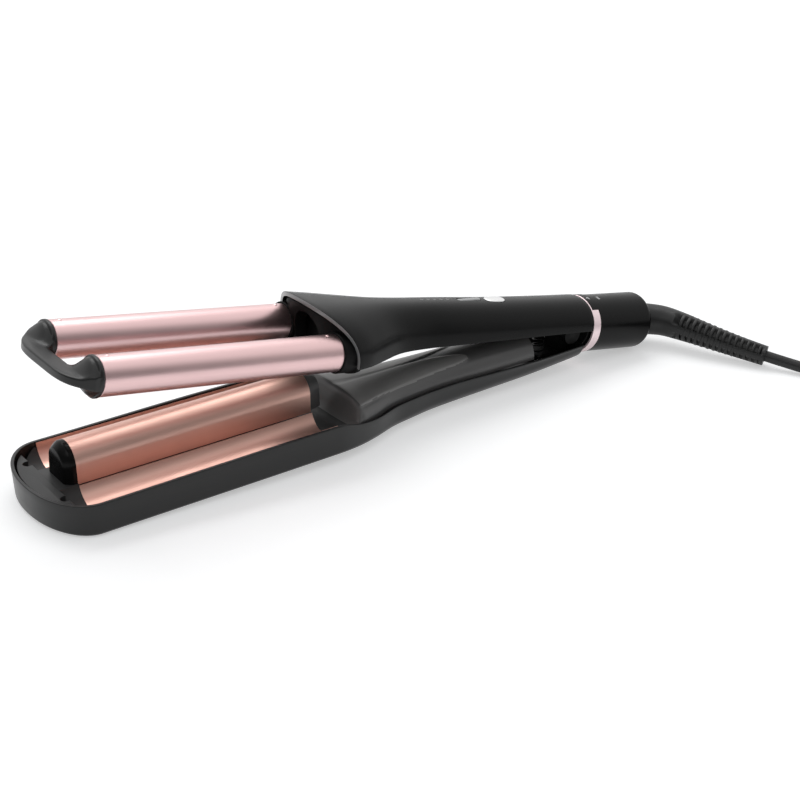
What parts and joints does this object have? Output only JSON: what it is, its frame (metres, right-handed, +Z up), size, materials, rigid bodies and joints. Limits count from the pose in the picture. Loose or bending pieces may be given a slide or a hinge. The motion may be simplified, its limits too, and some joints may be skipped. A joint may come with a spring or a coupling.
{
  "type": "hair waver",
  "caption": "Hair waver with hinged arms: paired round barrels press down beside a ridge and into shallow troughs; buttons, lock sleeve and swivel mains cord.",
  "frame": {"origin": "middle of the box of the tool without its cord, on the surface that it lies on", "axes": "+X towards the barrel tips, +Z up; the tool is symmetric about the XZ plane"},
  "size_m": [0.5417, 0.1853, 0.0757],
  "materials": {
    "black_housing": "satin black plastic",
    "heat_proof_black": "matt heat proof plastic",
    "holder_grey": "matt dark grey plastic",
    "rose_barrel": "satin rose coating on aluminium",
    "copper_plate": "satin copper coating on aluminium",
    "pink_trim": "pale pink metal",
    "silver_button": "bright silver",
    "light_grey": "light grey plastic",
    "cord_black": "soft black",
    "plug_black": "black plastic",
    "steel": "steel",
    "heater_aluminium": "cast",
    "ceramic": "white ceramic",
    "board_green": "circuit board",
    "switch_grey": "tin plate and plastic",
    "wire": "insulated copper",
    "fuse": "metal case"
  },
  "bodies": {
    "upper_arm": {"upper_shell": "black_housing", "upper_inner_cover": "heat_proof_black", "barrel_collar": "heat_proof_black", "barrel_left": "rose_barrel", "barrel_right": "rose_barrel", "barrel_rivets": "rose_barrel", "upper_heater_cores": "heater_aluminium", "upper_heater_plates": "ceramic", "tip_bridge": "heat_proof_black", "control_board": "board_green", "tact_switches": "switch_grey", "indicator_lights": "light_grey", "hinge_core": "heat_proof_black", "hinge_pin": "steel", "opening_spring": "steel", "upper_screws": "steel", "mains_wires": "wire", "thermal_fuses": "fuse", "tail_cap": "heat_proof_black", "strain_relief": "cord_black", "cord_lead": "cord_black", "cord_coil": "cord_black", "cord_end": "cord_black", "cord_tie": "cord_black", "plug_body": "plug_black", "plug_pins": "steel"},
    "power_button": {"power_button": "silver_button"},
    "heat_button": {"heat_button": "light_grey"},
    "lock_sleeve": {"lock_sleeve": "black_housing", "trim_ring": "pink_trim"},
    "cord_swivel": {"swivel_bushing": "heat_proof_black"},
    "lower_arm": {"lower_shell": "black_housing", "lower_inner_cover": "black_housing", "hinge_knuckle": "heat_proof_black", "centre_barrel": "copper_plate", "trough_left": "copper_plate", "trough_right": "copper_plate", "centre_cap": "heat_proof_black", "front_deck": "heat_proof_black", "rear_holder": "holder_grey", "lower_heater_core": "heater_aluminium", "lower_heater_plate": "ceramic", "lower_fuse": "fuse", "lower_screws": "steel"}
  },
  "joints": [
    {"name": "arm_hinge", "type": "hinge", "parent": "upper_arm", "child": "lower_arm", "pos_m": [-0.12184, 0, 0.02141], "axis": [0, -1, 0], "range_deg": [0, 9.7], "stiffness_Nm_per_rad": 1, "springref_deg": -40.11, "deforming": ["opening_spring"]},
    {"name": "power_press", "type": "slide", "parent": "upper_arm", "child": "power_button", "axis": [0.134, 0, -0.991], "range_m": [0, 0.0006], "stiffness_N_per_m": 1200, "springref_m": -0.0006},
    {"name": "heat_press", "type": "slide", "parent": "upper_arm", "child": "heat_button", "axis": [0.134, 0, -0.991], "range_m": [0, 0.0006], "stiffness_N_per_m": 1200, "springref_m": -0.0006},
    {"name": "lock_turn", "type": "hinge", "parent": "upper_arm", "child": "lock_sleeve", "pos_m": [-0.13216, 0, 0.0216], "axis": [0.989, 0, 0.1478], "range_deg": [0, 30]},
    {"name": "cord_swivel", "type": "hinge", "parent": "upper_arm", "child": "cord_swivel", "pos_m": [-0.13216, 0, 0.0216], "axis": [0.989, 0, 0.1478], "continuous": true}
  ]
}
